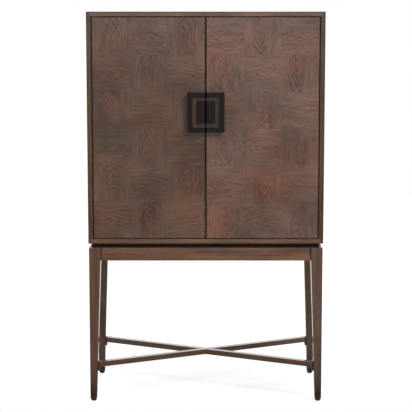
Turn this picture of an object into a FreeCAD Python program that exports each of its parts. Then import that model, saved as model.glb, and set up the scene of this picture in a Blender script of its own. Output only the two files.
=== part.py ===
# A tall two-door bar cabinet on an open leg base, with a fold-out serving shelf inside.
# Millimetres. +Z is up, +X is the viewer's right and the doors face -Y. The origin lies on
# the floor, under the middle of the cabinet with its door pulls.
import FreeCAD, Part
import Sketcher
import os

doc = FreeCAD.newDocument("bar_cabinet")

# Driving dimensions, one named value for each size that can be set by itself
SIZES = [
    ("case_width", 1016, "case, over its two sides"),
    ("case_depth", 514, "case, front edge to rear edge"),
    ("case_height", 995, "case, underside to top"),
    ("panel", 20, "thickness of the four mitred case panels"),
    ("back_thickness", 6, "back panel"),
    ("back_rebate", 9, "depth of the rebate that takes the back panel"),
    ("back_lap", 9, "width of that rebate into each case panel"),
    ("back_clearance", 0.3, "room round the back panel in its rebate"),
    ("base_height", 682, "leg base, floor to top"),
    ("base_inset", 1.5, "leg base, behind each case face"),
    ("plinth_height", 19, "dark recess between base and case"),
    ("plinth_inset", 15, "plinth, behind each case face"),
    ("plinth_width", 60, "flat plinth strips"),
    ("leg_top", 50, "square head of a leg"),
    ("leg_foot", 28, "square foot of a leg"),
    ("leg_chamfer", 1, "bevel round the foot of a leg"),
    ("glide_radius", 12.5, "nailed floor glide"),
    ("glide_height", 11, "nailed floor glide"),
    ("glide_bevel", 5, "bevelled edge of the glide"),
    ("apron_height", 56, "rails between the legs"),
    ("apron_thickness", 22, "rails between the legs"),
    ("apron_setback", 1.5, "apron face behind the leg face"),
    ("groove_width", 4, "shadow groove where an apron meets a leg"),
    ("groove_depth", 5, "shadow groove where an apron meets a leg"),
    ("tenon_length", 22, "stub tenon on each apron end"),
    ("tenon_thickness", 9, "stub tenon on each apron end"),
    ("tenon_shoulder", 9, "apron above and below its tenon"),
    ("glue_gap", 0.15, "room for glue round tenons, housings and laps"),
    ("stretcher_width", 27, "crossed stretcher bars"),
    ("stretcher_height", 23, "crossed stretcher bars"),
    ("stretcher_level", 153, "underside of the stretchers above the floor"),
    ("bracket_thickness", 6, "dark end plate between a stretcher and its leg"),
    ("bracket_width", 30, "dark end plate, across the leg's inner face"),
    ("bracket_drop", 16, "dark end plate, below the stretcher"),
    ("corner_block_reach", 120, "corner block along each apron, from the leg's outer face"),
    ("corner_block_height", 40, "corner block"),
    ("base_screw_place", 62, "base screw in from the leg's two outer faces"),
    ("base_screw_radius", 3, "screw that holds the base to the case"),
    ("base_screw_head", 6, "radius of that screw's head"),
    ("base_screw_bite", 13, "length of that screw in the case bottom"),
    ("screw_clearance", 0.1, "room round a screw in its hole"),
    ("door_gap", 4, "gap round the pair of doors"),
    ("meeting_gap", 5.5, "gap between the two doors"),
    ("door_thickness", 20, "door with its veneer"),
    ("veneer", 0.8, "veneer squares on the door faces"),
    ("veneer_joint", 0.2, "hairline between veneer squares"),
    ("hinge_edge", 12, "pivot axis in from the door's outer edge"),
    ("hinge_face", 8, "pivot axis behind the door's face"),
    ("hinge_width", 10, "knife hinge leaf"),
    ("hinge_length", 46, "knife hinge leaf, pivot to end"),
    ("hinge_thickness", 2.5, "knife hinge leaf"),
    ("hinge_pin_radius", 2.5, "knife hinge pin"),
    ("hinge_washer_radius", 4.6, "washer that carries the door"),
    ("washer_clearance", 0.1, "room between washer and door leaf"),
    ("running_clearance", 0.05, "room round a pin in its bore"),
    ("hinge_screw_first", 17, "nearer leaf screw from the pivot"),
    ("hinge_screw_step", 18, "farther leaf screw from the nearer"),
    ("hinge_screw_radius", 1.75, "leaf screw shank"),
    ("hinge_screw_head", 3.4, "leaf screw, radius of its countersunk head"),
    ("hinge_screw_length", 16, "leaf screw"),
    ("pull_width", 159, "both halves of the square pull together"),
    ("pull_height", 171, "square pull"),
    ("pull_bar", 22.5, "bar of the pull's outer frame"),
    ("pull_projection", 22, "front of the pull's frame off the door"),
    ("pull_thickness", 9, "outer frame of the pull"),
    ("pull_chamfer", 1.2, "bevel round the pull's front edges"),
    ("pull_level", 570, "middle of the pull above the case underside"),
    ("block_width", 79, "both halves of the pull's centre block together"),
    ("block_height", 93, "centre block of the pull"),
    ("block_thickness", 16, "centre block of the pull"),
    ("post_radius", 5.5, "posts that hold the pull's frame off the door"),
    ("post_place", 44, "posts, from the middle of the cabinet"),
    ("pull_screw_radius", 2, "machine screws of the pull"),
    ("pull_screw_head", 4, "machine screws of the pull, radius of the head"),
    ("pull_screw_head_height", 2.4, "machine screws of the pull"),
    ("pull_screw_bite", 8, "machine screws of the pull, in post or block"),
    ("interior_setback", 9, "inside pieces behind the doors' inner faces"),
    ("deck_level", 250, "top of the fixed deck above the case underside"),
    ("deck_thickness", 18, "fixed deck"),
    ("housing_depth", 6, "groove in each case side that takes the deck"),
    ("divider_thickness", 18, "upright between the two lower bays"),
    ("shelf_level", 385, "top of the gallery shelf above the case underside"),
    ("shelf_thickness", 20, "gallery shelf and fold-out shelf"),
    ("leaf_length", 295, "fold-out shelf, pivot to free edge"),
    ("leaf_lean", 5, "degrees the stowed leaf leans back past upright"),
    ("leaf_clearance", 0.3, "leaf to bearers and stop pegs"),
    ("leaf_end_gap", 1.5, "leaf end to case side"),
    ("gallery_gap", 2, "gallery shelf behind the leaf's round edge"),
    ("scoop_width", 110, "finger scoop in the leaf's free edge"),
    ("scoop_depth", 18, "finger scoop in the leaf's free edge"),
    ("pivot_radius", 4, "steel pivot pin of the leaf"),
    ("pivot_grip", 30, "pivot pin inside the leaf"),
    ("bush_radius", 7, "brass bush in the case side"),
    ("bush_flange_radius", 9, "brass bush, thrust flange"),
    ("bush_length", 13, "brass bush in the case side"),
    ("pivot_end_room", 1, "bush floor beyond the pin's end"),
    ("peg_radius", 6, "stop peg behind the stowed leaf"),
    ("peg_reach", 24, "stop peg out of the case side"),
    ("peg_grip", 12, "stop peg in the case side"),
    ("peg_place", 240, "stop peg along the stowed leaf from its pivot"),
    ("bearer_width", 20, "side bearers under the shelf"),
    ("bearer_height", 32, "side bearers under the shelf"),
    ("bearer_setback", 8, "bearers behind the leaf's free edge"),
    ("bearer_screw_radius", 2, "bearer screws"),
    ("bearer_screw_head", 4, "bearer screws, radius of the head"),
    ("bearer_screw_sink", 4, "bearer screws, counterbore of the head"),
    ("bearer_screw_bite", 13, "bearer screws in the case side"),
    ("bearer_screw_margin", 40, "outer bearer screws from the bearer ends"),
    ("rack_board", 10, "boards of the bottle rack"),
    ("rack_setback", 12, "bottle rack behind the deck's front edge"),
    ("stem_gap", 32, "gap for glass stems between two runners"),
    ("spacer_width", 12, "strips that hold the runners below the case top"),
    ("spacer_height", 22, "strips that hold the runners below the case top"),
    ("runner_thickness", 8, "runners that carry the glass feet"),
    ("runner_length", 330, "runners that carry the glass feet"),
    ("runner_point", 16, "bevelled front corners of a runner"),
    ("runner_setback", 30, "runners behind the doors' inner faces"),
    ("catch_width", 60, "double magnetic catch"),
    ("catch_depth", 24, "double magnetic catch"),
    ("catch_height", 16, "double magnetic catch"),
    ("catch_gap", 0.3, "catch face to the strike plates"),
    ("magnet_width", 20, "magnets in the catch"),
    ("magnet_height", 9, "magnets in the catch"),
    ("magnet_depth", 8, "magnets in the catch"),
    ("magnet_place", 16, "middle of a magnet from the middle of the cabinet"),
    ("strike_width", 24, "strike plate on a door"),
    ("strike_height", 12, "strike plate on a door"),
    ("strike_thickness", 1.5, "strike plate on a door"),
]

# Places that follow from the sizes
PLACES = [
    ("half", "size.case_width / 2"),
    ("front", "(size.pull_projection - size.case_depth) / 2"),
    ("rear", "front + size.case_depth"),
    ("middle", "(front + rear) / 2"),
    ("under", "size.base_height + size.plinth_height"),
    ("roof", "under + size.case_height"),
    ("inner", "half - size.panel"),
    ("floor", "under + size.panel"),
    ("ceiling", "roof - size.panel"),
    ("back_face", "rear - size.back_rebate"),
    ("door_back", "front + size.door_thickness"),
    ("inside", "door_back + size.interior_setback"),
    ("meeting", "size.meeting_gap / 2"),
    ("door_edge", "inner - size.door_gap"),
    ("door_low", "floor + size.door_gap"),
    ("door_high", "ceiling - size.door_gap"),
    ("axis_x", "door_edge - size.hinge_edge"),
    ("axis_y", "front + size.hinge_face"),
    ("pull_z", "under + size.pull_level"),
    ("pull_face", "front - size.pull_projection"),
    ("post_z", "(size.pull_height - size.pull_bar) / 2"),
    ("pull_screw_bore", "size.pull_screw_radius + size.screw_clearance"),
    ("hinge_screw_bore", "size.hinge_screw_radius + size.screw_clearance"),
    ("hinge_pin_bore", "size.hinge_pin_radius + size.running_clearance"),
    ("base_screw_bore", "size.base_screw_radius + size.screw_clearance"),
    ("bearer_screw_bore", "size.bearer_screw_radius + size.screw_clearance"),
    ("pivot_bore", "size.pivot_radius + size.running_clearance"),
    ("block_screw_x", "(meeting + size.block_width / 2) / 2"),
    ("base_x", "half - size.base_inset"),
    ("base_front", "front + size.base_inset"),
    ("base_rear", "rear - size.base_inset"),
    ("taper_top", "size.base_height - size.apron_height"),
    ("apron_x", "base_x - size.leg_top"),
    ("apron_mid", "size.apron_setback + size.apron_thickness / 2"),
    ("apron_inside", "size.apron_setback + size.apron_thickness"),
    ("tenon_low", "taper_top + size.tenon_shoulder"),
    ("tenon_high", "size.base_height - size.tenon_shoulder"),
    ("plinth_x", "half - size.plinth_inset"),
    ("plinth_front", "front + size.plinth_inset"),
    ("plinth_rear", "rear - size.plinth_inset"),
    ("stretcher_top", "size.stretcher_level + size.stretcher_height"),
    ("leg_taper", "(size.leg_top - size.leg_foot) / (taper_top - size.glide_height)"),
    ("leg_at_brace", "size.leg_foot + leg_taper * (stretcher_top - size.glide_height)"),
    ("brace_x", "base_x - leg_at_brace - size.bracket_thickness"),
    ("brace_y", "middle - base_front - leg_at_brace / 2"),
    ("brace_half", "sqrt(brace_x * brace_x + brace_y * brace_y)"),
    ("brace_angle", "atan(brace_y / brace_x) / 1 deg"),
    ("end_skew", "size.stretcher_width / 2 * tan(brace_angle)"),
    ("lap_run", "size.stretcher_width / 2 / tan(2 * brace_angle)"),
    ("lap_skew", "size.stretcher_width / 2 / sin(2 * brace_angle)"),
    ("lap_room", "size.glue_gap / sin(2 * brace_angle)"),
    ("deck_top", "under + size.deck_level"),
    ("deck_under", "deck_top - size.deck_thickness"),
    ("shelf_top", "under + size.shelf_level"),
    ("bearer_top", "shelf_top - size.shelf_thickness"),
    ("pivot_y", "inside + size.leaf_length"),
    ("pivot_z", "bearer_top + size.leaf_clearance + size.shelf_thickness / 2"),
    ("gallery_front", "pivot_y + size.shelf_thickness / 2 + size.gallery_gap"),
    ("leaf_x", "inner - size.leaf_end_gap"),
    ("scoop_radius", "(size.scoop_width ^ 2 / 4 + size.scoop_depth ^ 2) / (2 * size.scoop_depth)"),
    ("peg_off", "size.shelf_thickness / 2 + size.leaf_clearance + size.peg_radius"),
    ("peg_y", "pivot_y + size.peg_place * sin(size.leaf_lean) + peg_off * cos(size.leaf_lean)"),
    ("peg_z", "pivot_z + size.peg_place * cos(size.leaf_lean) - peg_off * sin(size.leaf_lean)"),
    ("bearer_front", "inside + size.bearer_setback"),
    ("bearer_low", "bearer_top - size.bearer_height"),
    ("bearer_face", "inner - size.bearer_width"),
    ("bearer_screw_first", "bearer_front + size.bearer_screw_margin"),
    ("bearer_screw_run", "back_face - size.bearer_screw_margin - bearer_screw_first"),
    ("bearer_mid", "bearer_top - size.bearer_height / 2"),
    ("rack_front", "inside + size.rack_setback"),
    ("rack_left", "-inner"),
    ("rack_right", "-size.divider_thickness / 2"),
    ("rack_mid_y", "(rack_front + back_face) / 2"),
    ("rack_mid_z", "(floor + deck_under) / 2"),
    ("runner_front", "door_back + size.runner_setback"),
    ("runner_rear", "runner_front + size.runner_length"),
    ("spacer_low", "ceiling - size.spacer_height"),
    ("runner_low", "spacer_low - size.runner_thickness"),
    ("catch_front", "door_back + size.strike_thickness + size.catch_gap"),
    ("catch_z", "ceiling - size.catch_height / 2"),
]

# Counts of what repeats
VENEER_COLUMNS = 3
VENEER_ROWS = 6
RACK_COLUMNS = 4
STEM_SLOTS = 8
BEARER_SCREWS = 2
SIDES = (("left", "-1"), ("right", "1"))


def fill_sheet(name, rows):
    """One row for each value: its name, the value under that alias, and what it is."""
    sheet = doc.addObject("Spreadsheet::Sheet", name)
    for number, (alias, *cells) in enumerate(rows, 1):
        sheet.set(f"A{number}", alias)
        sheet.set(f"B{number}", cells[0])
        sheet.setAlias(f"B{number}", alias)
        if len(cells) > 1:
            sheet.set(f"C{number}", cells[1])
    doc.recompute()
    return sheet


size = fill_sheet("size", [(alias, str(value), note) for alias, value, note in SIZES])
at = fill_sheet("at", [(alias, "=" + formula) for alias, formula in PLACES])

nodes = {}


def keep(label, piece):
    """Names a finished piece, which makes it a part of the cabinet."""
    piece.Label = label
    nodes[label] = piece
    return piece


def group(label, pieces):
    """Several alike pieces under one name, still separate solids."""
    bundle = doc.addObject("Part::Compound", label)
    bundle.Links = pieces
    return keep(label, bundle)


# Rectangular, round and combined pieces

def block(label, x, y, z):
    """A rectangular piece between pairs of places."""
    piece = doc.addObject("Part::Box", label)
    for axis, length, (low, high) in (("x", "Length", x), ("y", "Width", y), ("z", "Height", z)):
        piece.setExpression(length, f"({high}) - ({low})")
        piece.setExpression(f"Placement.Base.{axis}", low)
    return piece


TURN_TO = {
    "X": FreeCAD.Rotation(FreeCAD.Vector(0, 1, 0), 90),
    "Y": FreeCAD.Rotation(FreeCAD.Vector(1, 0, 0), -90),
    "Z": FreeCAD.Rotation(),
}


def rod(label, along, start, length, radius):
    """A round piece that starts at a point and runs along the positive axis."""
    piece = doc.addObject("Part::Cylinder", label)
    piece.Placement = FreeCAD.Placement(FreeCAD.Vector(), TURN_TO[along])
    for axis, place in zip("xyz", start):
        piece.setExpression(f"Placement.Base.{axis}", place)
    piece.setExpression("Height", length)
    piece.setExpression("Radius", radius)
    return piece


def cross_rod(label, sign, near, far, centre, radius):
    """A round piece across the cabinet, between two distances from its middle."""
    low, high = ordered(sign, near, far)
    return rod(label, "X", (low, *centre), f"({high}) - ({low})", radius)


def cone(label, start, length, low_radius, high_radius):
    """A tapered round piece that starts at a point and runs up."""
    piece = doc.addObject("Part::Cone", label)
    for axis, place in zip("xyz", start):
        piece.setExpression(f"Placement.Base.{axis}", place)
    piece.setExpression("Height", length)
    piece.setExpression("Radius1", low_radius)
    piece.setExpression("Radius2", high_radius)
    return piece


def joined(label, pieces):
    """Pieces fused into one solid."""
    fused = doc.addObject("Part::MultiFuse", label)
    fused.Shapes = pieces
    fused.Refine = True
    return fused


def cut_away(label, piece, waste):
    """A piece with the shapes in waste taken out of it."""
    tool = waste[0]
    if len(waste) > 1:
        tool = doc.addObject("Part::Compound", label + "_waste")
        tool.Links = waste
    rest = doc.addObject("Part::Cut", label)
    rest.Base = piece
    rest.Tool = tool
    return rest


# Bodies made from sketches

# The plane's normal points along -Y on XZ, so levels and directions turn over there
PLANES = {"XY": ("XY_Plane", 1), "XZ": ("XZ_Plane", -1), "YZ": ("YZ_Plane", 1)}


def new_body(label):
    return doc.addObject("PartDesign::Body", label)


def new_sketch(body, plane, level):
    """A sketch on one of the body's own planes, lifted to a level."""
    role, normal = PLANES[plane]
    sketch = body.newObject("Sketcher::SketchObject", "outline")
    origin = next(item for item in body.Origin.OriginFeatures if item.Role == role)
    sketch.AttachmentSupport = (origin, [""])
    sketch.MapMode = "FlatFace"
    sketch.setExpression("AttachmentOffset.Base.z", f"{normal} * ({level})")
    return sketch


def place_point(sketch, item, point, across, up):
    """Ties a point of a sketch to two places, measured from the sketch's origin."""
    for kind, place in (("DistanceX", across), ("DistanceY", up)):
        value = float(size.evalExpression(place))
        number = sketch.addConstraint(Sketcher.Constraint(kind, -1, 1, item, point, value))
        sketch.setExpression(f"Constraints[{number}]", place)


def point_at(corner):
    """The point of a sketch that a pair of places gives."""
    across, up = corner
    return FreeCAD.Vector(float(size.evalExpression(across)), float(size.evalExpression(up)), 0)


def straight_outline(body, plane, level, corners):
    """A closed outline with straight edges through the corners."""
    sketch = new_sketch(body, plane, level)
    points = [point_at(corner) for corner in corners]
    count = len(points)
    for number in range(count):
        sketch.addGeometry(Part.LineSegment(points[number], points[(number + 1) % count]), False)
    for number in range(count):
        sketch.addConstraint(Sketcher.Constraint("Coincident", number, 2, (number + 1) % count, 1))
    for number, corner in enumerate(corners):
        place_point(sketch, number, 1, *corner)
    return sketch


def round_outline(body, plane, level, centre, radius):
    """A circle about a centre."""
    sketch = new_sketch(body, plane, level)
    value = float(size.evalExpression(radius))
    sketch.addGeometry(Part.Circle(point_at(centre), FreeCAD.Vector(0, 0, 1), value), False)
    place_point(sketch, 0, 3, *centre)
    number = sketch.addConstraint(Sketcher.Constraint("Radius", 0, value))
    sketch.setExpression(f"Constraints[{number}]", radius)
    return sketch


def extrude(body, plane, sketch, low, high, cut):
    """Adds, or cuts, the outline from its level to a higher one."""
    kind = "PartDesign::Pocket" if cut else "PartDesign::Pad"
    feature = body.newObject(kind, "cut" if cut else "pad")
    feature.Profile = sketch
    feature.setExpression("Length", f"({high}) - ({low})")
    normal = PLANES[plane][1]
    feature.Reversed = (normal > 0) == cut
    return feature


def prism(body, plane, low, high, corners, cut=False):
    sketch = straight_outline(body, plane, low, corners)
    return extrude(body, plane, sketch, low, high, cut)


def drum(body, plane, low, high, centre, radius, cut=False):
    sketch = round_outline(body, plane, low, centre, radius)
    return extrude(body, plane, sketch, low, high, cut)


def rectangle(x, y):
    """The four corners between two pairs of places."""
    return [(x[0], y[0]), (x[1], y[0]), (x[1], y[1]), (x[0], y[1])]


def ordered(sign, near, far):
    """A pair of places on one side of the middle, lowest first."""
    pair = (f"{sign} * ({near})", f"{sign} * ({far})")
    return pair if sign == "1" else pair[::-1]


def around(middle, width):
    """A pair of places evenly about a middle."""
    return f"({middle}) - ({width}) / 2", f"({middle}) + ({width}) / 2"


def mirrored(reach):
    """A pair of places evenly about the cabinet's middle."""
    return f"-({reach})", reach


def edges_at(body, axis, place):
    """Names of the body's edges that lie wholly at one level of an axis."""
    doc.recompute()
    level = float(size.evalExpression(place))
    found = []
    for number, edge in enumerate(body.Shape.Edges, 1):
        if all(abs(getattr(vertex.Point, axis) - level) < 0.01 for vertex in edge.Vertexes):
            found.append(f"Edge{number}")
    return found


def soften(body, kind, edges, amount):
    """Rounds or bevels edges of the body's last feature."""
    last = body.Tip
    feature = body.newObject("PartDesign::" + kind, kind.lower())
    feature.Base = (last, edges)
    feature.setExpression("Radius" if kind == "Fillet" else "Size", amount)
    return feature


# Knife hinges at the top and bottom outer corners of the doors

# Each end has the case leaf's level, the door leaf's level and the side its screws enter
HINGE_ENDS = {
    "top": {
        "case": ("at.ceiling", "at.ceiling + size.hinge_thickness"),
        "door": ("at.door_high - size.hinge_thickness", "at.door_high"),
        "washer": ("at.door_high + size.washer_clearance", "at.ceiling"),
        "pin": "at.door_high - size.hinge_thickness",
    },
    "bottom": {
        "case": ("at.floor - size.hinge_thickness", "at.floor"),
        "door": ("at.door_low", "at.door_low + size.hinge_thickness"),
        "washer": ("at.floor", "at.door_low - size.washer_clearance"),
        "pin": "at.floor - size.hinge_thickness",
    },
}
HINGE_SCREWS = ("size.hinge_screw_first", "size.hinge_screw_first + size.hinge_screw_step")


def hinge_recess(body, sign, low, high):
    """The bed of one hinge leaf, cut into a door edge or a case panel."""
    room = "size.glue_gap"
    along = ordered(sign, f"at.axis_x - size.hinge_length - {room}", "at.axis_x")
    half_width = f"(size.hinge_width / 2 + {room})"
    across = (f"at.axis_y - {half_width}", f"at.axis_y + {half_width}")
    prism(body, "XY", low, high, rectangle(along, across), cut=True)
    drum(body, "XY", low, high, (f"{sign} * at.axis_x", "at.axis_y"), half_width, cut=True)


def hinge_screw_holes(body, sign, low, high):
    """Pilot holes for the two screws of one hinge leaf."""
    for step in HINGE_SCREWS:
        centre = (f"{sign} * (at.axis_x - ({step}))", "at.axis_y")
        drum(body, "XY", low, high, centre, "at.hinge_screw_bore", cut=True)


def hinge_leaf(label, sign, levels, screws_up):
    """A straight leaf with a round pivot end, a pin bore and two countersunk holes."""
    low, high = levels
    along = ordered(sign, "at.axis_x - size.hinge_length", "at.axis_x")
    across = ("at.axis_y - size.hinge_width / 2", "at.axis_y + size.hinge_width / 2")
    bar = block(label + "_bar", along, across, levels)
    pivot = (f"{sign} * at.axis_x", "at.axis_y", low)
    eye = rod(label + "_eye", "Z", pivot, "size.hinge_thickness", "size.hinge_width / 2")
    bore = rod(label + "_bore", "Z", pivot, "size.hinge_thickness", "at.hinge_pin_bore")
    wide = "size.hinge_screw_head + size.screw_clearance"
    slim = "at.hinge_screw_bore"
    sinks = []
    for step in HINGE_SCREWS:
        place = (f"{sign} * (at.axis_x - ({step}))", "at.axis_y", low)
        radii = (wide, slim) if screws_up else (slim, wide)
        sinks.append(cone(label + "_sink", place, "size.hinge_thickness", *radii))
    blank = joined(label + "_blank", [bar, eye])
    return cut_away(label, blank, [bore] + sinks)


def hinge_screws(label, sign, levels, screws_up):
    """Two countersunk screws, heads flush with the leaf."""
    low, high = levels
    screws = []
    for step in HINGE_SCREWS:
        x = f"{sign} * (at.axis_x - ({step}))"
        start = low if screws_up else f"{high} - size.hinge_screw_length"
        head_radii = ("size.hinge_screw_head", "size.hinge_screw_radius")
        radii = head_radii if screws_up else head_radii[::-1]
        head = cone(label + "_head", (x, "at.axis_y", low), "size.hinge_thickness", *radii)
        shank = rod(label + "_shank", "Z", (x, "at.axis_y", start), "size.hinge_screw_length",
                    "size.hinge_screw_radius")
        screws.append(joined(label, [head, shank]))
    return screws


def make_hinges():
    case_leaves = []
    case_screws = []
    pins = []
    washers = []
    for side, sign in SIDES:
        door_leaves = []
        door_screws = []
        for end, levels in HINGE_ENDS.items():
            into_case_is_up = end == "top"
            case_leaves.append(hinge_leaf("case_leaf", sign, levels["case"], into_case_is_up))
            case_screws += hinge_screws("case_leaf_screw", sign, levels["case"], into_case_is_up)
            door_leaves.append(hinge_leaf("door_leaf", sign, levels["door"], not into_case_is_up))
            door_screws += hinge_screws("door_leaf_screw", sign, levels["door"], not into_case_is_up)
            pivot = (f"{sign} * at.axis_x", "at.axis_y")
            pins.append(rod("hinge_pin", "Z", (*pivot, levels["pin"]),
                            "2 * size.hinge_thickness + size.door_gap", "size.hinge_pin_radius"))
            low, high = levels["washer"]
            thickness = f"({high}) - ({low})"
            disc = rod("washer_disc", "Z", (*pivot, low), thickness, "size.hinge_washer_radius")
            hole = rod("washer_hole", "Z", (*pivot, low), thickness, "at.hinge_pin_bore")
            washers.append(cut_away("hinge_washer", disc, [hole]))
        group(f"{side}_door_hinge_leaves", door_leaves)
        group(f"{side}_door_hinge_screws", door_screws)
    group("case_hinge_leaves", case_leaves)
    group("case_hinge_screws", case_screws)
    group("hinge_pins", pins)
    group("hinge_washers", washers)


# Case: four mitred panels with a rebated back

def cut_back_rebate(body):
    """The step along a panel's rear inner edge that takes the back panel."""
    reach = "at.inner + size.back_lap"
    across = (f"-({reach})", reach)
    upright = ("at.floor - size.back_lap", "at.ceiling + size.back_lap")
    prism(body, "XZ", "at.back_face", "at.rear", rectangle(across, upright), cut=True)


def level_panel(label, outside, inside, end):
    """The case top or bottom, mitred at both ends and bedded for two hinge leaves."""
    body = new_body(label)
    mitred = [("-at.half", outside), ("at.half", outside), ("at.inner", inside), ("-at.inner", inside)]
    prism(body, "XZ", "at.front", "at.rear", mitred)
    cut_back_rebate(body)
    low, high = HINGE_ENDS[end]["case"]
    for side, sign in SIDES:
        hinge_recess(body, sign, low, high)
        if end == "top":
            hinge_screw_holes(body, sign, high, f"{low} + size.hinge_screw_length")
        else:
            hinge_screw_holes(body, sign, f"{high} - size.hinge_screw_length", low)
    return keep(label, body)


def side_panel(side, sign):
    """A case side, mitred at both ends, with the deck's housing and the shelf's fittings let in."""
    label = f"case_{side}_side"
    body = new_body(label)
    outer, inner = f"{sign} * at.half", f"{sign} * at.inner"
    mitred = [(outer, "at.under"), (outer, "at.roof"), (inner, "at.ceiling"), (inner, "at.floor")]
    prism(body, "XZ", "at.front", "at.rear", mitred)
    cut_back_rebate(body)
    groove = rectangle(("at.inside - size.glue_gap", "at.back_face"),
                       ("at.deck_under - size.glue_gap", "at.deck_top + size.glue_gap"))
    housing = ordered(sign, "at.inner", "at.inner + size.housing_depth + size.glue_gap")
    prism(body, "YZ", *housing, groove, cut=True)
    drum(body, "YZ", *ordered(sign, "at.inner", "at.inner + size.bush_length + size.pivot_end_room"),
         ("at.pivot_y", "at.pivot_z"), "size.bush_radius + size.running_clearance", cut=True)
    drum(body, "YZ", *ordered(sign, "at.inner", "at.inner + size.peg_grip"),
         ("at.peg_y", "at.peg_z"), "size.peg_radius + size.running_clearance", cut=True)
    for place in BEARER_SCREW_PLACES:
        drum(body, "YZ", *ordered(sign, "at.inner", "at.inner + size.bearer_screw_bite"),
             (place, "at.bearer_mid"), "at.bearer_screw_bore", cut=True)
    return keep(label, body)


def make_case():
    level_panel("case_top", "at.roof", "at.ceiling", "top")
    bottom = level_panel("case_bottom", "at.under", "at.floor", "bottom")
    for corner, sign, row in CORNERS:
        drum(bottom, "XY", "at.under", "at.under + size.base_screw_bite", base_screw_place(sign, row),
             "at.base_screw_bore", cut=True)
    for side, sign in SIDES:
        side_panel(side, sign)
    reach = "at.inner + size.back_lap - size.back_clearance"
    low = "at.floor - size.back_lap + size.back_clearance"
    high = "at.ceiling + size.back_lap - size.back_clearance"
    back = block("back_panel", (f"-({reach})", reach),
                 ("at.back_face", "at.back_face + size.back_thickness"), (low, high))
    keep("back_panel", back)


# Leg base: tapered legs, tenoned aprons, corner blocks and crossed stretchers

CORNERS = [(f"{row}_{side}", sign, row) for row in ("front", "back") for side, sign in SIDES]


def from_face(row, inset):
    """A place measured inward from the front or back face of the base."""
    return f"at.base_front + ({inset})" if row == "front" else f"at.base_rear - ({inset})"


def depth_pair(row, near, far):
    """Two places measured inward from the front or back face of the base, lowest first."""
    pair = (from_face(row, near), from_face(row, far))
    return pair if row == "front" else pair[::-1]


def base_screw_place(sign, row):
    """Where the base screw of one corner stands in plan."""
    return f"{sign} * (at.base_x - size.base_screw_place)", from_face(row, "size.base_screw_place")


def leg(corner, sign, row):
    """A square leg, tapered on its two inner faces below the aprons, with two mortises."""
    body = new_body(f"{corner}_leg")
    outer = f"{sign} * at.base_x"
    head = f"{sign} * at.apron_x"
    foot = f"{sign} * (at.base_x - size.leg_foot)"
    elevation = [(outer, "size.glide_height"), (outer, "size.base_height"), (head, "size.base_height"),
                 (head, "at.taper_top"), (foot, "size.glide_height")]
    prism(body, "XZ", *depth_pair(row, "0", "size.leg_top"), elevation)
    taper = [(from_face(row, "size.leg_top"), "at.taper_top"),
             (from_face(row, "size.leg_foot"), "size.glide_height"),
             (from_face(row, "size.leg_top"), "size.glide_height")]
    prism(body, "YZ", *ordered(sign, "at.apron_x", "at.base_x"), taper, cut=True)
    soften(body, "Chamfer", edges_at(body, "z", "size.glide_height"), "size.leg_chamfer")
    upright = ("at.tenon_low - size.glue_gap", "at.tenon_high + size.glue_gap")
    near = "at.apron_mid - size.tenon_thickness / 2 - size.glue_gap"
    far = "at.apron_mid + size.tenon_thickness / 2 + size.glue_gap"
    depth = "size.tenon_length + size.glue_gap"
    prism(body, "YZ", *ordered(sign, "at.apron_x", f"at.apron_x + {depth}"),
          rectangle(depth_pair(row, near, far), upright), cut=True)
    prism(body, "XZ", *depth_pair(row, f"size.leg_top - ({depth})", "size.leg_top"),
          rectangle(ordered(sign, f"at.base_x - ({far})", f"at.base_x - ({near})"), upright), cut=True)
    return keep(f"{corner}_leg", body)


def long_apron(row):
    """The front or back apron, a tenon and a shadow groove at each end."""
    body = new_body(f"{row}_apron")
    upright = ("at.taper_top", "size.base_height")
    depths = depth_pair(row, "size.apron_setback", "at.apron_inside")
    prism(body, "XZ", *depths, rectangle(("-at.apron_x", "at.apron_x"), upright))
    half_tenon = "size.tenon_thickness / 2"
    tenon = rectangle(depth_pair(row, f"at.apron_mid - {half_tenon}", f"at.apron_mid + {half_tenon}"),
                      ("at.tenon_low", "at.tenon_high"))
    groove_depth = depth_pair(row, "size.apron_setback", "size.apron_setback + size.groove_depth")
    groove = rectangle(groove_depth, upright)
    for side, sign in SIDES:
        prism(body, "YZ", *ordered(sign, "at.apron_x", "at.apron_x + size.tenon_length"), tenon)
        prism(body, "YZ", *ordered(sign, "at.apron_x - size.groove_width", "at.apron_x"), groove, cut=True)
    return keep(f"{row}_apron", body)


def side_apron(side, sign):
    """The left or right apron, a tenon and a shadow groove at each end."""
    body = new_body(f"{side}_apron")
    upright = ("at.taper_top", "size.base_height")
    ends = (from_face("front", "size.leg_top"), from_face("back", "size.leg_top"))
    prism(body, "YZ", *ordered(sign, "at.base_x - at.apron_inside", "at.base_x - size.apron_setback"),
          rectangle(ends, upright))
    half_tenon = "size.tenon_thickness / 2"
    tenon = rectangle(ordered(sign, f"at.base_x - at.apron_mid - {half_tenon}",
                              f"at.base_x - at.apron_mid + {half_tenon}"), ("at.tenon_low", "at.tenon_high"))
    groove = rectangle(ordered(sign, "at.base_x - size.apron_setback - size.groove_depth",
                               "at.base_x - size.apron_setback"), upright)
    for row in ("front", "back"):
        prism(body, "XZ", *depth_pair(row, "size.leg_top - size.tenon_length", "size.leg_top"), tenon)
        groove_run = depth_pair(row, "size.leg_top", "size.leg_top + size.groove_width")
        prism(body, "XZ", *groove_run, groove, cut=True)
    return keep(f"{side}_apron", body)


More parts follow.
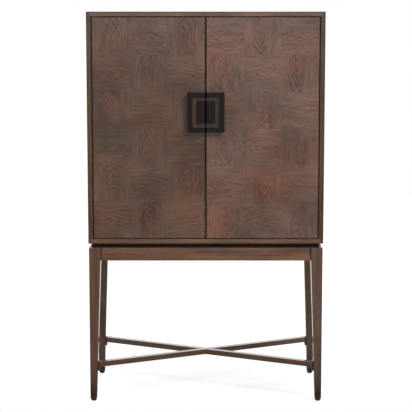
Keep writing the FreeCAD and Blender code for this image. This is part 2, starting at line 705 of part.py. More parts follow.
def corner_block(corner, sign, row):
    """A block glued into the corner of two aprons and notched round the leg."""
    body = new_body("corner_block")
    plan = [("size.leg_top", "at.apron_inside"), ("size.leg_top", "size.leg_top"),
            ("at.apron_inside", "size.leg_top"), ("at.apron_inside", "size.corner_block_reach"),
            ("size.corner_block_reach", "at.apron_inside")]
    corners = [(f"{sign} * (at.base_x - {along})", from_face(row, inward)) for along, inward in plan]
    low = "size.base_height - size.corner_block_height"
    prism(body, "XY", low, "size.base_height", corners)
    drum(body, "XY", low, "size.base_height", base_screw_place(sign, row), "at.base_screw_bore", cut=True)
    return body


def base_screw(corner, sign, row):
    """A long screw up through a corner block and the plinth into the case bottom."""
    place = base_screw_place(sign, row)
    low = "size.base_height - size.corner_block_height"
    length = "size.corner_block_height + size.plinth_height + size.base_screw_bite"
    shank = rod("base_screw_shank", "Z", (*place, low), length, "size.base_screw_radius")
    head_height = "size.base_screw_radius"
    head_start = (*place, f"{low} - {head_height}")
    head = rod("base_screw_head", "Z", head_start, head_height, "size.base_screw_head")
    return joined("base_screw", [shank, head])


def glide(corner, sign, row):
    """A round floor glide with a bevelled edge, nailed under a leg."""
    body = new_body("foot_glide")
    centre = (f"{sign} * (at.base_x - size.leg_foot / 2)", from_face(row, "size.leg_foot / 2"))
    drum(body, "XY", "0", "size.glide_height", centre, "size.glide_radius")
    soften(body, "Chamfer", edges_at(body, "z", "0"), "size.glide_bevel")
    return body


def plinth_rails():
    """Four flat strips between the base and the case."""
    levels = ("size.base_height", "at.under")
    depths = {"front": ("at.plinth_front", "at.plinth_front + size.plinth_width"),
              "back": ("at.plinth_rear - size.plinth_width", "at.plinth_rear")}
    for row, depth in depths.items():
        body = new_body(f"plinth_{row}_rail")
        prism(body, "XY", *levels, rectangle(("-at.plinth_x", "at.plinth_x"), depth))
        for corner, sign, corner_row in CORNERS:
            if corner_row == row:
                drum(body, "XY", *levels, base_screw_place(sign, row), "at.base_screw_bore", cut=True)
        keep(f"plinth_{row}_rail", body)
    for side, sign in SIDES:
        rail = block(f"plinth_{side}_rail", ordered(sign, "at.plinth_x - size.plinth_width", "at.plinth_x"),
                     (depths["front"][1], depths["back"][0]), levels)
        keep(f"plinth_{side}_rail", rail)


def lap_notch(sign):
    """Plan of the half-lap where the other stretcher crosses this one, along its own length."""
    half = "size.stretcher_width / 2"
    near = f"{sign} * at.lap_run - at.lap_skew - at.lap_room"
    far = f"{sign} * at.lap_run + at.lap_skew + at.lap_room"
    below_near = f"-{sign} * at.lap_run - at.lap_skew - at.lap_room"
    below_far = f"-{sign} * at.lap_run + at.lap_skew + at.lap_room"
    return [(near, half), (far, half), (below_far, f"-{half}"), (below_near, f"-{half}")]


def stretcher(label, turn, notch_levels):
    """A bar from leg to leg across the base, half-lapped at its middle, its ends square to the legs."""
    body = new_body(label)
    half = "size.stretcher_width / 2"
    skew = f"{turn} * at.end_skew"
    plan = [(f"-at.brace_half - {skew}", f"-{half}"), (f"at.brace_half - {skew}", f"-{half}"),
            (f"at.brace_half + {skew}", half), (f"-at.brace_half + {skew}", half)]
    prism(body, "XY", "size.stretcher_level", "at.stretcher_top", plan)
    prism(body, "XY", *notch_levels, lap_notch("-1" if turn == "1" else "1"), cut=True)
    body.setExpression("Placement.Base.y", "at.middle")
    body.setExpression("Placement.Rotation.Angle", f"{turn} * at.brace_angle")
    return keep(label, body)


def bracket(corner, sign, row, leg_body):
    """A dark end plate on the inner face of a leg, which carries a stretcher end."""
    plate = block("bracket_blank", ordered(sign, "at.brace_x", "at.base_x - size.leg_foot"),
                  depth_pair(row, *around("at.leg_at_brace / 2", "size.bracket_width")),
                  ("size.stretcher_level - size.bracket_drop", "at.stretcher_top"))
    return cut_away("bracket", plate, [leg_body])


def make_base():
    legs = [leg(*corner) for corner in CORNERS]
    for row in ("front", "back"):
        long_apron(row)
    for side, sign in SIDES:
        side_apron(side, sign)
    group("corner_blocks", [corner_block(*corner) for corner in CORNERS])
    group("base_screws", [base_screw(*corner) for corner in CORNERS])
    group("foot_glides", [glide(*corner) for corner in CORNERS])
    plinth_rails()
    lap = "size.stretcher_level + size.stretcher_height / 2"
    stretcher("rising_stretcher", "1", (f"{lap} - size.glue_gap / 2", "at.stretcher_top"))
    stretcher("falling_stretcher", "-1", ("size.stretcher_level", f"{lap} + size.glue_gap / 2"))
    group("stretcher_brackets", [bracket(*corner, body) for corner, body in zip(CORNERS, legs)])


# Inside: deck, divider, bottle rack, glass rack and the fixed half of the bar shelf

BEARER_SCREW_PLACES = [f"at.bearer_screw_first + at.bearer_screw_run * {step} / {BEARER_SCREWS - 1}"
                       for step in range(BEARER_SCREWS)]


def bearer(side, sign):
    """A strip screwed to the case side that carries the gallery shelf and the opened leaf."""
    body = new_body(f"{side}_bearer")
    across = ordered(sign, "at.bearer_face", "at.inner")
    prism(body, "YZ", *across,
          rectangle(("at.bearer_front", "at.back_face"), ("at.bearer_low", "at.bearer_top")))
    sink = ordered(sign, "at.bearer_face", "at.bearer_face + size.bearer_screw_sink")
    for place in BEARER_SCREW_PLACES:
        centre = (place, "at.bearer_mid")
        drum(body, "YZ", *across, centre, "at.bearer_screw_bore", cut=True)
        drum(body, "YZ", *sink, centre, "size.bearer_screw_head + size.screw_clearance", cut=True)
    return keep(f"{side}_bearer", body)


def bearer_screw(sign, place):
    """A screw through a bearer into the case side, its head sunk below the surface."""
    head_top = "at.bearer_face + size.bearer_screw_sink"
    head_end = f"{head_top} - size.bearer_screw_radius"
    shank_end = "at.inner + size.bearer_screw_bite"
    centre = (place, "at.bearer_mid")
    head = cross_rod("bearer_screw_head", sign, head_end, head_top, centre, "size.bearer_screw_head")
    shank = cross_rod("bearer_screw_shank", sign, head_top, shank_end, centre, "size.bearer_screw_radius")
    return joined("bearer_screw", [head, shank])


def make_bottle_rack():
    """Crossed boards that part the left bay into bottle cells, half-lapped into each other."""
    half_slot = "(size.rack_board / 2 + size.glue_gap)"
    pitch = f"(at.rack_right - at.rack_left) / {RACK_COLUMNS}"
    columns = [f"(at.rack_left + {pitch} * {step})" for step in range(1, RACK_COLUMNS)]
    uprights = []
    for column in columns:
        upright = new_body("rack_upright")
        corners = [("at.rack_front", "at.floor"), ("at.back_face", "at.floor"),
                   ("at.back_face", "at.deck_under"), ("at.rack_front", "at.deck_under"),
                   ("at.rack_front", f"at.rack_mid_z + {half_slot}"),
                   ("at.rack_mid_y + size.glue_gap", f"at.rack_mid_z + {half_slot}"),
                   ("at.rack_mid_y + size.glue_gap", f"at.rack_mid_z - {half_slot}"),
                   ("at.rack_front", f"at.rack_mid_z - {half_slot}")]
        prism(upright, "YZ", f"{column} - size.rack_board / 2", f"{column} + size.rack_board / 2", corners)
        uprights.append(upright)
    group("bottle_rack_uprights", uprights)
    board = new_body("bottle_rack_shelf")
    levels = ("at.rack_mid_z - size.rack_board / 2", "at.rack_mid_z + size.rack_board / 2")
    plan = rectangle(("at.rack_left", "at.rack_right"), ("at.rack_front", "at.back_face"))
    prism(board, "XY", *levels, plan)
    for column in columns:
        across = (f"{column} - {half_slot}", f"{column} + {half_slot}")
        prism(board, "XY", *levels, rectangle(across, ("at.rack_mid_y", "at.back_face")), cut=True)
    keep("bottle_rack_shelf", board)


def make_glass_rack():
    """Runners under the case top that hold glasses by the foot, each hung on a spacer strip."""
    pitch = f"2 * at.inner / {STEM_SLOTS}"
    spacers = []
    runners = []
    for step in range(STEM_SLOTS + 1):
        middle = f"(-at.inner + {pitch} * {step})"
        wide = f"({pitch} / 2 - size.stem_gap / 2)"
        slim = "size.spacer_width / 2"
        # The runners at the case sides are half as wide as the others
        left = "0" if step == 0 else "1"
        right = "0" if step == STEM_SLOTS else "1"
        spacer_x = (f"{middle} - {left} * {slim}", f"{middle} + {right} * {slim}")
        spacers.append(block("stem_spacer", spacer_x, ("at.runner_front", "at.runner_rear"),
                             ("at.spacer_low", "at.ceiling")))
        runner = new_body("stem_runner")
        low, high = f"{middle} - {left} * {wide}", f"{middle} + {right} * {wide}"
        point = "size.runner_point"
        corners = [(low, f"at.runner_front + {left} * {point}"), (low, "at.runner_rear"),
                   (high, "at.runner_rear"), (high, f"at.runner_front + {right} * {point}")]
        if right == "1":
            corners.append((f"{high} - {point}", "at.runner_front"))
        if left == "1":
            corners.append((f"{low} + {point}", "at.runner_front"))
        prism(runner, "XY", "at.runner_low", "at.spacer_low", corners)
        runners.append(runner)
    group("stemware_spacers", spacers)
    group("stemware_runners", runners)


def make_catch():
    """A double magnetic catch under the case top, behind the meeting edges of the doors."""
    housing = new_body("catch_housing")
    half_width = "size.catch_width / 2"
    levels = ("at.ceiling - size.catch_height", "at.ceiling")
    prism(housing, "XZ", "at.catch_front", "at.catch_front + size.catch_depth",
          rectangle((f"-{half_width}", half_width), levels))
    magnets = []
    for side, sign in SIDES:
        across = ordered(sign, *around("size.magnet_place", "size.magnet_width"))
        upright = around("at.catch_z", "size.magnet_height")
        depth = ("at.catch_front", "at.catch_front + size.magnet_depth")
        prism(housing, "XZ", *depth, rectangle(across, upright), cut=True)
        magnets.append(block("magnet", across, depth, upright))
    keep("catch_housing", housing)
    group("catch_magnets", magnets)


def make_inside():
    depth = ("at.inside", "at.back_face")
    deck = block("deck", mirrored("at.inner + size.housing_depth"), depth, ("at.deck_under", "at.deck_top"))
    keep("deck", deck)
    divider = block("centre_divider", mirrored("size.divider_thickness / 2"), depth,
                    ("at.floor", "at.deck_under"))
    keep("centre_divider", divider)
    gallery = block("gallery_shelf", mirrored("at.inner"), ("at.gallery_front", "at.back_face"),
                    ("at.bearer_top", "at.shelf_top"))
    keep("gallery_shelf", gallery)
    screws = []
    for side, sign in SIDES:
        bearer(side, sign)
        screws += [bearer_screw(sign, place) for place in BEARER_SCREW_PLACES]
    group("bearer_screws", screws)
    make_bottle_rack()
    make_glass_rack()
    make_catch()


# Fold-out shelf: a leaf on two pivot pins, stowed upright against two stop pegs

def make_fold_out_shelf():
    # The leaf is drawn opened out flat, about its pivot, and then turned up to where it stows
    leaf = new_body("fold_out_shelf")
    half = "size.shelf_thickness / 2"
    prism(leaf, "YZ", "-at.leaf_x", "at.leaf_x", rectangle(("-size.leaf_length", "0"), (f"-{half}", half)))
    drum(leaf, "YZ", "-at.leaf_x", "at.leaf_x", ("0", "0"), half)
    scoop_centre = ("0", "-size.leaf_length - at.scoop_radius + size.scoop_depth")
    drum(leaf, "XY", f"-{half}", half, scoop_centre, "at.scoop_radius", cut=True)
    for side, sign in SIDES:
        drum(leaf, "YZ", *ordered(sign, "at.leaf_x - size.pivot_grip", "at.leaf_x"), ("0", "0"),
             "at.pivot_bore", cut=True)
    leaf.Placement = FreeCAD.Placement(FreeCAD.Vector(), FreeCAD.Rotation(FreeCAD.Vector(1, 0, 0), -90))
    leaf.setExpression("Placement.Rotation.Angle", "-90 - size.leaf_lean")
    leaf.setExpression("Placement.Base.y", "at.pivot_y")
    leaf.setExpression("Placement.Base.z", "at.pivot_z")
    keep("fold_out_shelf", leaf)
    pins = []
    bushes = []
    pegs = []
    axis = ("at.pivot_y", "at.pivot_z")
    outer_end = "at.inner + size.bush_length"
    flange_face = "at.leaf_x + size.leaf_clearance"
    for side, sign in SIDES:
        pins.append(cross_rod("pivot_pin", sign, "at.leaf_x - size.pivot_grip", outer_end, axis,
                              "size.pivot_radius"))
        barrel = cross_rod("bush_barrel", sign, "at.inner", outer_end, axis, "size.bush_radius")
        flange = cross_rod("bush_flange", sign, flange_face, "at.inner", axis, "size.bush_flange_radius")
        bore = cross_rod("bush_bore", sign, flange_face, outer_end, axis, "at.pivot_bore")
        bushes.append(cut_away("pivot_bush", joined("bush_blank", [barrel, flange]), [bore]))
        pegs.append(cross_rod("stop_peg", sign, "at.inner - size.peg_reach", "at.inner + size.peg_grip",
                              ("at.peg_y", "at.peg_z"), "size.peg_radius"))
    group("shelf_pivot_pins", pins)
    group("shelf_pivot_bushes", bushes)
    group("shelf_stop_pegs", pegs)


# Doors, each with its veneer, strike plate and half of the square pull

def pull_screw_places(sign):
    """Middles of a door's pull screws: two in the frame's posts, one in the centre block."""
    places = [(f"{sign} * size.post_place", f"at.pull_z {way} at.post_z") for way in "+-"]
    return places + [(f"{sign} * at.block_screw_x", "at.pull_z")]


def door_panel(side, sign):
    """A flat door core, bedded for its hinge leaves and bored for its pull."""
    body = new_body(f"{side}_door_panel")
    prism(body, "XZ", "at.front + size.veneer", "at.door_back",
          rectangle(ordered(sign, "at.meeting", "at.door_edge"), ("at.door_low", "at.door_high")))
    for end, levels in HINGE_ENDS.items():
        low, high = levels["door"]
        hinge_recess(body, sign, low, high)
        if end == "top":
            hinge_screw_holes(body, sign, f"{high} - size.hinge_screw_length", low)
        else:
            hinge_screw_holes(body, sign, high, f"{low} + size.hinge_screw_length")
    for place in pull_screw_places(sign):
        drum(body, "XZ", "at.front + size.veneer", "at.door_back", place, "at.pull_screw_bore", cut=True)
    return keep(f"{side}_door_panel", body)


def door_veneer(side, sign):
    """Squares of veneer laid over the door face, with hairlines between them."""
    width = f"(at.door_edge - at.meeting) / {VENEER_COLUMNS}"
    height = f"(at.door_high - at.door_low) / {VENEER_ROWS}"
    joint = "size.veneer_joint / 2"
    squares = []
    for column in range(VENEER_COLUMNS):
        for row in range(VENEER_ROWS):
            across = ordered(sign, f"at.meeting + {width} * {column} + {joint}",
                             f"at.meeting + {width} * {column + 1} - {joint}")
            upright = (f"at.door_low + {height} * {row} + {joint}",
                       f"at.door_low + {height} * {row + 1} - {joint}")
            squares.append(block("veneer_square", across, ("at.front", "at.front + size.veneer"), upright))
    face = doc.addObject("Part::Compound", f"{side}_veneer_face")
    face.Links = squares
    holes = [rod("veneer_hole", "Y", (x, "at.front", z), "size.veneer", "at.pull_screw_bore")
             for x, z in pull_screw_places(sign)]
    return keep(f"{side}_door_veneer", cut_away(f"{side}_door_veneer", face, holes))


def pull_frame(side, sign):
    """Half of the pull's square outer frame, held off the door by two posts."""
    body = new_body(f"{side}_pull_frame")
    wide, slim = "size.pull_width / 2", "size.pull_width / 2 - size.pull_bar"
    tall, low = "size.pull_height / 2", "(size.pull_height / 2 - size.pull_bar)"
    inmost = "at.meeting"
    plan = [(inmost, f"+ {tall}"), (wide, f"+ {tall}"), (wide, f"- {tall}"), (inmost, f"- {tall}"),
            (inmost, f"- {low}"), (slim, f"- {low}"), (slim, f"+ {low}"), (inmost, f"+ {low}")]
    corners = [(f"{sign} * ({x})", f"at.pull_z {z}") for x, z in plan]
    prism(body, "XZ", "at.pull_face", "at.pull_face + size.pull_thickness", corners)
    soften(body, "Chamfer", edges_at(body, "y", "at.pull_face"), "size.pull_chamfer")
    posts = pull_screw_places(sign)[:2]
    for place in posts:
        drum(body, "XZ", "at.pull_face + size.pull_thickness", "at.front", place, "size.post_radius")
        drum(body, "XZ", "at.front - size.pull_screw_bite", "at.front", place, "at.pull_screw_bore", cut=True)
    return keep(f"{side}_pull_frame", body)


def pull_block(side, sign):
    """Half of the pull's solid centre, flat on the door."""
    body = new_body(f"{side}_pull_block")
    face = "at.front - size.block_thickness"
    across = ordered(sign, "at.meeting", "size.block_width / 2")
    elevation = rectangle(across, around("at.pull_z", "size.block_height"))
    prism(body, "XZ", face, "at.front", elevation)
    soften(body, "Chamfer", edges_at(body, "y", face), "size.pull_chamfer")
    drum(body, "XZ", "at.front - size.pull_screw_bite", "at.front", pull_screw_places(sign)[2],
         "at.pull_screw_bore", cut=True)
    return keep(f"{side}_pull_block", body)


def pull_screws(side, sign):
    """Screws from inside the door into the pull's posts and block."""
    screws = []
    for x, z in pull_screw_places(sign):
        shank = rod("pull_screw_shank", "Y", (x, "at.front - size.pull_screw_bite", z),
                    "size.pull_screw_bite + size.door_thickness", "size.pull_screw_radius")
        head = rod("pull_screw_head", "Y", (x, "at.door_back", z), "size.pull_screw_head_height",
                   "size.pull_screw_head")
        screws.append(joined("pull_screw", [shank, head]))
    return group(f"{side}_pull_screws", screws)


def strike_plate(side, sign):
    """A thin steel plate on the door's back, in front of its magnet."""
    across = ordered(sign, *around("size.magnet_place", "size.strike_width"))
    plate = block(f"{side}_strike_plate", across, ("at.door_back", "at.door_back + size.strike_thickness"),
                  around("at.catch_z", "size.strike_height"))
    return keep(f"{side}_strike_plate", plate)


def make_doors():
    for side, sign in SIDES:
        door_panel(side, sign)
        door_veneer(side, sign)
        strike_plate(side, sign)
        pull_frame(side, sign)
        pull_block(side, sign)
        pull_screws(side, sign)


def check_and_write():
    """Stops if any piece failed, and otherwise writes each named piece to its own file."""
    doc.recompute()
    for item in doc.Objects:
        if "Invalid" in item.State or "Error" in item.State:
            raise RuntimeError(f"{item.Name} ({item.Label}) did not build: {item.State}")
        if item.TypeId == "PartDesign::Pocket" and item.Shape.Volume >= item.BaseFeature.Shape.Volume:
            raise RuntimeError(f"{item.Name} cuts nothing")
    for label, piece in nodes.items():
        if piece.Shape.isNull() or not piece.Shape.isValid() or not piece.Shape.Solids:
            raise RuntimeError(f"{label} has no sound shape")
    os.makedirs("parts", exist_ok=True)
    for label, piece in nodes.items():
        piece.Shape.exportStep(f"parts/{label}.step")
    print(len(nodes), "pieces written")


make_case()
make_base()
make_inside()
make_fold_out_shelf()
make_doors()
make_hinges()
check_and_write()
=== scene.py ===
"""Looks of a tall two-door bar cabinet on an open leg base, with a fold-out shelf inside."""
import functools
import math

import bpy
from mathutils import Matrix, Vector


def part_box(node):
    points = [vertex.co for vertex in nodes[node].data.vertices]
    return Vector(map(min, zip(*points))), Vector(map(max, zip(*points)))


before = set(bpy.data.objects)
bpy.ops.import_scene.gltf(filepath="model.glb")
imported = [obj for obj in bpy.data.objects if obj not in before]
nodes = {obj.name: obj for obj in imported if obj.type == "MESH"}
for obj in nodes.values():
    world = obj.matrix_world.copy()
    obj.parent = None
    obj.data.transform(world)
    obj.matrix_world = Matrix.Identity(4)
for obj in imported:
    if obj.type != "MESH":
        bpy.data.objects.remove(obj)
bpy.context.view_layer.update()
MM = 0.001
UP, WIDE, DEEP = (0, 0, 1), (1, 0, 0), (0, 1, 0)


def linear(colour):
    """An sRGB hex colour as linear RGBA."""
    channels = [int(colour[start:start + 2], 16) / 255 for start in (1, 3, 5)]
    return [c / 12.92 if c <= 0.04045 else ((c + 0.055) / 1.055) ** 2.4 for c in channels] + [1]


def add(tree, kind, inputs=None, out=0, stops=(), **settings):
    """Adds a node with its settings, feeds its inputs with values or sockets, and gives one output."""
    node = tree.nodes.new("ShaderNode" + kind)
    for name, value in settings.items():
        setattr(node, name, value)
    for number, (place, shade) in enumerate(stops):
        element = node.color_ramp.elements[number] if number < 2 else node.color_ramp.elements.new(place)
        element.position = place
        element.color = linear(shade) if isinstance(shade, str) else (shade, shade, shade, 1)
    for name, value in (inputs or {}).items():
        if isinstance(value, bpy.types.NodeSocket):
            tree.links.new(value, node.inputs[name])
        else:
            node.inputs[name].default_value = value
    return node.outputs[out] if node.outputs else None


def new_material(name):
    """An empty material, and the function that adds nodes to it."""
    material = bpy.data.materials.new(name)
    material.use_nodes = True
    material.node_tree.nodes.clear()
    return material, functools.partial(add, material.node_tree)


# Oak: its figure and its pores

VENEER_RING = 13 * MM      # growth rings are drawn four to a band, as single ones are too fine to show
SHEET_RING = 9 * MM        # the same on the long sheets of the case
BOARD_RING = 7 * MM        # drawn two to a band, for the same reason
BOARD_RING_LENGTH = 420 * MM
ARCH_WIDTH = 36 * MM       # how far the pointed arches reach from the heart line of a sheet
PORE_WIDTH = 1.8 * MM      # open pores are about 0.3 mm wide and are drawn as wide as the picture can show
PORE_LENGTH = 28 * MM
PORE_DEPTH = 0.08 * MM
PORE_DARKNESS = 0.36
PORE_DULLNESS = 0.12       # how much rougher late wood and pores are than plain wood
FULL_PORE, NO_PORE = 0.34, 0.5                 # noise below the first is a pore, above the second plain wood
DOOR_FIGURE = {"left": 0.52, "right": 0.5}     # how dark the late wood is
APRON_FIGURE, BOARD_FIGURE = 0.4, 0.3
LATE_WOOD_TINT = (1.06, 0.92, 0.98)            # it takes a redder stain

# Stain: the tones of a piece go from its coolest to its warmest

DOOR_PATCH = 170 * MM      # where the stain took unevenly on the doors
BOARD_PATCH = 22 * MM      # the same across a board, where it follows the grain
BOARD_PATCH_LENGTH = 230 * MM
STREAK_WIDTH = 12 * MM     # darker and paler streaks of the wood itself
STREAK_LENGTH = 110 * MM
PATCH_SHARE, STREAK_SHARE = 0.7, 0.36          # how much each of them changes what soaks in
SOAK_SPREAD = 0.15
UNEVEN, EVEN = 0.3, 0.2    # how much lighter and darker the stain came out
TONE_STOPS = (0.3, 0.5, 0.7)
DOOR_LAY = {"left": 9, "right": 16}      # which squares and which patches of stain each door happened to get
# The right door's tones are lighter partly as painted light from the right, partly as its veneer's own tone
DOOR_TONES = {"left": ("#5f4c3f", "#634b3d", "#6a4a39"), "right": ("#685449", "#6f5346", "#775242")}
TOP_TONES = ("#6a584d", "#74594c", "#7e5d4e")
BOTTOM_TONES = ("#6e5a49", "#795b48", "#845f4a")
STILE_TONES = ("#514132", "#5b4432", "#664833")
STILE_PAINTED_LIGHT = 0.2        # painted light and shade: how much warmer and lighter the case sides are at their foot than at half height, and how much darker at their top
BASE_TONES = ("#695444", "#745642", "#7e5842")
# Each leg's tones are partly its own stain and partly painted light and shade: the back right leg darker, as
# it lies in shade, and the back left lighter, as it lies in less shade
LEG_TONES = {
    "front_left_leg": ("#614f40", "#694f3f", "#71503e"),
    "front_right_leg": ("#5f5247", "#655346", "#6b5445"),
    "back_left_leg": ("#685948", "#6f5c4a", "#765e4a"),
    "back_right_leg": ("#5b4d3c", "#614f3d", "#67503d"),
}
BRACE_TONES = ("#544637", "#5d4736", "#664937")
INSIDE_TONES = ("#63513f", "#6d5443", "#785844")
# Nearly black: painted shade for the shadow under the case
PLINTH_TONES = ("#231811", "#281911", "#2d1a11")

# Dark glaze left along the outer edges of the case, and painted shade in the gaps, grooves and toward the
# floor:
# how wide each is, and what it leaves of the colour there

CORNER_GLAZE, CORNER_SHADE = 7 * MM, 0.5       # along the outer edges of the case
PAINTED_REVEAL_WIDTH, PAINTED_REVEAL_DARKNESS = 18 * MM, 0.3      # painted shade on its inner faces, in the gaps where the doors sit
NO_PAINTED_REVEAL = 1.0
PAINTED_EDGE_WIDTH, PAINTED_EDGE_DARKNESS = 5 * MM, 0.7           # painted shade along the upright edges of the doors, beside the gaps
GROOVE, PAINTED_GROOVE_DARKNESS = 4 * MM, 0.25            # painted shade in the shadow groove at each end of an apron
PAINTED_FOOT_SHADE_HEIGHT = 340 * MM                          # painted shade up the legs, darker toward the floor
PAINTED_FOOT_DARKNESS = ((0.0, 0.1), (0.1, 0.26), (0.25, 0.58), (0.5, 0.9), (1.0, 1.0))

# Lacquer

GLOSSY, SATIN, MATT = 0.08, 0.26, 0.45         # roughness
LACQUER_IOR = 1.5
SLOPING, SQUARE_ON = 0.6, 0.8                  # how far a face turns one way before it counts as facing it


def scaled(put, grain, across, along):
    """Grain coordinates counted in steps of two real sizes."""
    return put("VectorMath", {0: grain, 1: (1 / across, 1 / across, 1 / along)}, operation="MULTIPLY")


def unevenness(put, grain, across, along, detail, apart):
    """Noise from -0.5 to 0.5 with a given size across and along the grain."""
    place = put("VectorMath", {0: scaled(put, grain, across, along), 1: apart}, operation="ADD")
    noise = put("TexNoise", {"Vector": place, "Scale": 1.0, "Detail": detail})
    return put("Math", {0: noise, 1: 0.5}, operation="SUBTRACT")


def crown_figure(put, grain, chance, ring, rise):
    """Pointed arches of a sheet sliced beside the heart of the log, fading into plain wood at its sides.

    Gives how dark the late wood is, and how near a point is to the heart line.
    """
    heart = 3 * MM           # blunts the points of the arches
    wander = 30 * MM         # how far the heart line sways
    set_off = 34 * MM        # how far apart the places are where it may lie in a sheet
    raggedness = 0.9         # how far the rings stray, counted in rings
    patchiness = 2.2         # how much the arches break up into plain wood
    apart = put("VectorMath", {0: chance, "Scale": 40.0}, operation="SCALE")
    sway = unevenness(put, grain, 70 * MM, 150 * MM, 1.0, apart)
    ragged = unevenness(put, grain, 14 * MM, 70 * MM, 2.0, apart)
    off_middle = put("Math", {0: put("SeparateXYZ", {0: chance}, "X"), 1: 0.5}, operation="SUBTRACT")
    across = put("SeparateXYZ", {0: grain}, "X")
    across = put("Math", {0: sway, 1: wander, 2: across}, operation="MULTIPLY_ADD")
    across = put("Math", {0: off_middle, 1: set_off, 2: across}, operation="MULTIPLY_ADD")
    from_heart = put("CombineXYZ", {"X": across, "Y": heart})
    from_heart = put("VectorMath", {0: from_heart}, "Value", operation="LENGTH")
    steps = put("Math", {0: across, 1: ARCH_WIDTH}, operation="DIVIDE")
    steps = put("Math", {0: steps, 1: 2.0}, operation="POWER")
    near = put("Math", {0: put("Math", {0: steps, 1: -1.0}, operation="MULTIPLY")}, operation="EXPONENT")
    climb = put("Math", {0: put("SeparateXYZ", {0: grain}, "Z"), 1: near}, operation="MULTIPLY")
    count = put("Math", {0: climb, 1: rise, 2: from_heart}, operation="MULTIPLY_ADD")
    count = put("Math", {0: count, 1: ring}, operation="DIVIDE")
    count = put("Math", {0: sway, 1: count}, operation="ADD")
    count = put("Math", {0: ragged, 1: raggedness, 2: count}, operation="MULTIPLY_ADD")
    late = put("ValToRGB", {"Fac": put("Math", {0: count}, operation="FRACT")},
               stops=[(0.0, 0.5), (0.1, 0.0), (0.5, 0.05), (0.8, 0.6), (0.93, 1.0)])
    broken = unevenness(put, grain, 30 * MM, 60 * MM, 2.0, apart)
    plain = put("Math", {0: broken, 1: patchiness, 2: near}, operation="MULTIPLY_ADD")
    shown = put("MapRange", {"Value": plain, "From Min": 0.05, "From Max": 0.75,
                             "To Min": 0.12, "To Max": 1.0})
    return put("Math", {0: late, 1: shown}, operation="MULTIPLY"), near


def straight_figure(put, grain):
    """Long nearly parallel dark streaks of a board sawn along the log."""
    place = scaled(put, grain, BOARD_RING, BOARD_RING_LENGTH)
    streak = put("TexNoise", {"Vector": place, "Scale": 1.0, "Detail": 3.0})
    return put("ValToRGB", {"Fac": streak}, stops=[(0.3, 0.0), (0.5, 0.3), (0.7, 1.0)])


def border(put, low, high, width):
    """How far a point is into a border of the given width along each side of a box, from 0 to 1 each way."""
    middle = (Vector(low) + Vector(high)) / 2
    inner = (Vector(high) - Vector(low)) / 2 - Vector((width, width, width))
    off = put("VectorMath", {0: put("TexCoord", out="Object"), 1: middle}, operation="SUBTRACT")
    off = put("VectorMath", {0: off}, operation="ABSOLUTE")
    off = put("VectorMath", {0: off, 1: inner}, operation="SUBTRACT")
    off = put("VectorMath", {0: off, "Scale": 1 / width}, operation="SCALE")
    return put("VectorMath", {0: off, 1: (0, 0, 0)}, operation="MAXIMUM")


def stained_oak(put, grain, patches, figure, tones, depth, gloss,
                shift=0.0, shade=None, uneven=EVEN, film=0.0):
    """Stained open-pored oak under lacquer: dark late wood, dark pores, stain that took unevenly.

    patches are coordinates counted in patches of stain, and depth is how dark the late wood is. shift moves
    the stain's tone up or down, shade multiplies the colour where it is given, and uneven is how much lighter
    and darker the stain comes out. film is where a second, clear film of lacquer lies on top.
    """
    patch = put("TexNoise", {"Vector": patches, "Scale": 1.0, "Detail": 3.0}, "Color")
    tone = put("Math", {0: put("SeparateXYZ", {0: patch}, "X"), 1: shift}, operation="ADD")
    colour = put("ValToRGB", {"Fac": tone}, stops=list(zip(TONE_STOPS, tones)))
    streak_place = scaled(put, grain, STREAK_WIDTH, STREAK_LENGTH)
    streak = put("TexNoise", {"Vector": streak_place, "Scale": 1.0, "Detail": 2.0})
    streak = put("Math", {0: streak, 1: STREAK_SHARE}, operation="MULTIPLY")
    soaked = put("SeparateXYZ", {0: patch}, "Y")
    soaked = put("Math", {0: soaked, 1: PATCH_SHARE, 2: streak}, operation="MULTIPLY_ADD")
    usual = (PATCH_SHARE + STREAK_SHARE) / 2
    soaked = put("MapRange", {"Value": soaked,
                              "From Min": usual - SOAK_SPREAD, "From Max": usual + SOAK_SPREAD,
                              "To Min": 1 - uneven, "To Max": 1 + uneven})
    pore_place = scaled(put, grain, PORE_WIDTH, PORE_LENGTH)
    pore = put("TexNoise", {"Vector": pore_place, "Scale": 1.0, "Detail": 1.0})
    open_pore = put("MapRange", {"Value": pore, "From Min": FULL_PORE, "From Max": NO_PORE,
                                 "To Min": PORE_DARKNESS / depth, "To Max": 0.0})
    dark = put("Math", {0: figure, 1: open_pore}, operation="ADD")
    colour = put("MixRGB", {0: 1.0, 1: colour, 2: soaked}, blend_type="MULTIPLY")
    late_wood = [(1 - depth) * share for share in LATE_WOOD_TINT] + [1]
    colour = put("MixRGB", {0: dark, 1: colour, 2: late_wood}, blend_type="MULTIPLY")
    if shade is not None:
        colour = put("MixRGB", {0: 1.0, 1: colour, 2: shade}, blend_type="MULTIPLY")
    rough = put("MapRange", {"Value": dark, "To Min": gloss, "To Max": gloss + PORE_DULLNESS})
    bump = put("Bump", {"Height": dark, "Strength": 0.3, "Distance": PORE_DEPTH}, invert=True)
    surface = put("BsdfPrincipled", {"Base Color": colour, "Roughness": rough, "Normal": bump,
                                     "IOR": LACQUER_IOR, "Coat Weight": film, "Coat Roughness": gloss,
                                     "Coat IOR": LACQUER_IOR})
    put("OutputMaterial", {"Surface": surface})


